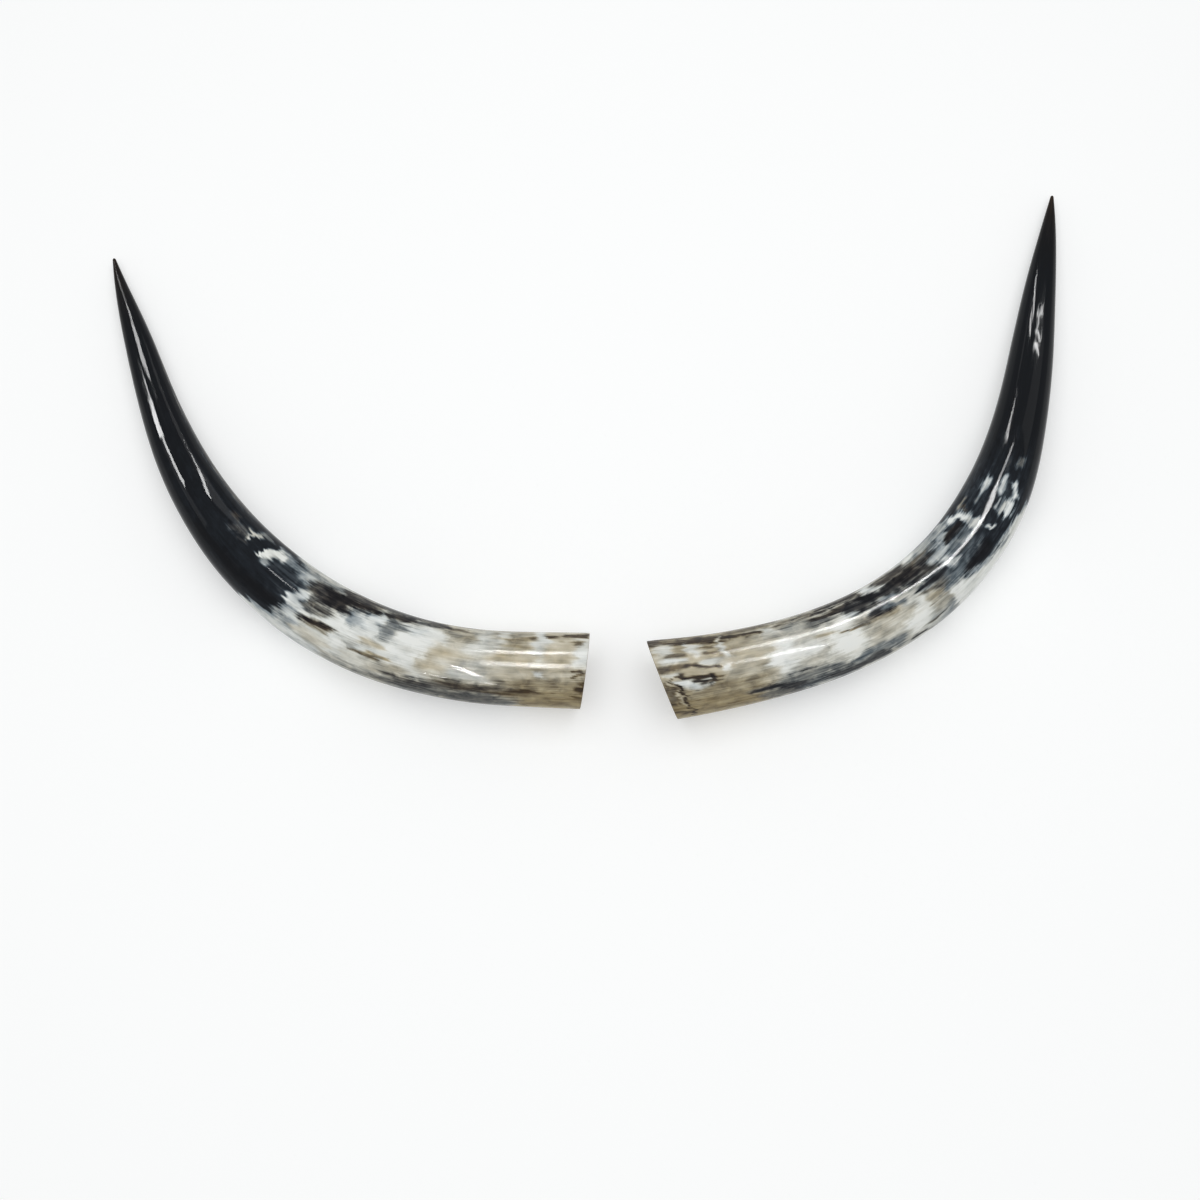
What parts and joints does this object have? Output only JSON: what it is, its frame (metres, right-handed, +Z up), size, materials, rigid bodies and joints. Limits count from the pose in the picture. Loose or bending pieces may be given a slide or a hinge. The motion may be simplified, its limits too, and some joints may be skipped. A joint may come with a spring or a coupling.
{
  "type": "pair of cow horns",
  "caption": "Pair of long curved cattle horns, hollow and sawn flat at the base, tapering to points, lying on a flat surface.",
  "frame": {"origin": "on the surface that the horns lie on, under the middle of the pair's box", "axes": "+X along the pair from the left horn's tip to the right horn's tip, +Y from the sawn bases towards the tips, +Z up from the surface"},
  "size_m": [1.0143, 0.5817, 0.0751],
  "materials": {
    "left_horn": "polished horn, grey-cream with dark streaks at the base, glossy black from the middle to the tip",
    "right_horn": "polished horn, grey-cream with dark streaks at the base, glossy black from the middle to the tip"
  },
  "bodies": {
    "root": {"left_horn": "left_horn", "right_horn": "right_horn"}
  },
  "joints": []
}
